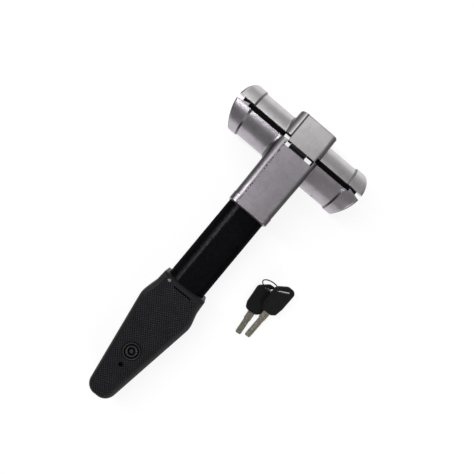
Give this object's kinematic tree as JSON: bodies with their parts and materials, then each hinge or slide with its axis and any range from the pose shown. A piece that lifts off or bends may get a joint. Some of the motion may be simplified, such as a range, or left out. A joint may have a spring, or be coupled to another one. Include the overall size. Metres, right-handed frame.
{
  "type": "steering wheel lock",
  "caption": "T-shaped steering wheel lock: a split, rubber-lined clamp that is locked by a key, on a coated bar with a moulded grip; its keys lie beside it.",
  "frame": {"origin": "on the flat back, under the point where the clamp's axis crosses the handle's centre line", "axes": "+X along the clamp's axis, -Y along the handle towards the grip, +Z from the flat back to the front"},
  "size_m": [0.1706, 0.3392, 0.0543],
  "materials": {
    "cast_aluminium": "satin cast",
    "liner_rubber": "matt",
    "black_steel": "black oxide",
    "bright_steel": "bright",
    "lock_brass": "machined",
    "plug_nickel": "nickel plated",
    "tube_steel": "phosphated steel",
    "grained_sleeve": "grained leather-look coating",
    "inner_plastic": "matt",
    "grip_plastic": "moulded, knurled",
    "medallion_plastic": "satin",
    "key_nickel": "worn nickel plate",
    "key_plastic": "satin"
  },
  "bodies": {
    "handle": {"lower_jaw_casting": "cast_aluminium", "lower_jaw_liner": "liner_rubber", "lock_case": "lock_brass", "lock_case_pin": "bright_steel", "bolt_springs_front": "bright_steel", "bolt_springs_back": "bright_steel", "keyhole_cover_rivet": "bright_steel", "bar_tube": "tube_steel", "bar_sleeve": "grained_sleeve", "bar_neck_screws": "black_steel", "bar_end_plug": "inner_plastic", "grip_front_shell": "grip_plastic", "grip_back_shell": "grip_plastic", "grip_medallion": "medallion_plastic", "grip_screw": "black_steel", "grip_back_screws": "black_steel", "grip_pin": "bright_steel"},
    "upper_jaw": {"upper_jaw_casting": "cast_aluminium", "upper_jaw_liner": "liner_rubber", "tongue_front": "black_steel", "tongue_back": "black_steel", "tongue_cross_pins": "bright_steel"},
    "plug": {"key_plug": "plug_nickel", "wafer_1": "lock_brass", "wafer_2": "lock_brass", "wafer_3": "lock_brass", "wafer_4": "lock_brass", "wafer_5": "lock_brass", "bolt_cam": "bright_steel", "cam_clip": "bright_steel"},
    "front_bolt": {"bolt_front": "bright_steel"},
    "back_bolt": {"bolt_back": "bright_steel"},
    "cover": {"keyhole_cover": "plug_nickel"},
    "key_set": {"key_ring": "bright_steel", "key_lower_blade": "key_nickel", "key_lower_head": "key_plastic"},
    "upper_key": {"key_upper_blade": "key_nickel", "key_upper_head": "key_plastic"}
  },
  "joints": [
    {"name": "jaw_slide", "type": "slide", "parent": "handle", "child": "upper_jaw", "axis": [0, 1, 0], "range_m": [0, 0.062]},
    {"name": "key_turn", "type": "hinge", "parent": "handle", "child": "plug", "pos_m": [0, -0.044, 0.027], "axis": [1, 0, 0], "range_deg": [0, 90]},
    {"name": "front_bolt_slide", "type": "slide", "parent": "handle", "child": "front_bolt", "axis": [0, 0, 1], "range_m": [0, 0.0016], "deforming": ["bolt_springs_front"]},
    {"name": "back_bolt_slide", "type": "slide", "parent": "handle", "child": "back_bolt", "axis": [0, 0, -1], "range_m": [0, 0.0016], "deforming": ["bolt_springs_back"]},
    {"name": "cover_swivel", "type": "hinge", "parent": "handle", "child": "cover", "pos_m": [0.0208, -0.0344, 0.027], "axis": [-1, 0, 0], "range_deg": [0, 80]},
    {"name": "keys_lift", "type": "slide", "parent": "handle", "child": "key_set", "axis": [0, 0, 1], "range_m": [0, 0.12]},
    {"name": "upper_key_swing", "type": "hinge", "parent": "key_set", "child": "upper_key", "pos_m": [0.0778, -0.1182, 0.013], "axis": [0, 0, 1], "range_deg": [0, 4]}
  ],
  "couplings": [
    {"joint": "front_bolt_slide", "follows": "key_turn", "m_per_rad": 0.0010186},
    {"joint": "back_bolt_slide", "follows": "key_turn", "m_per_rad": 0.0010186}
  ]
}
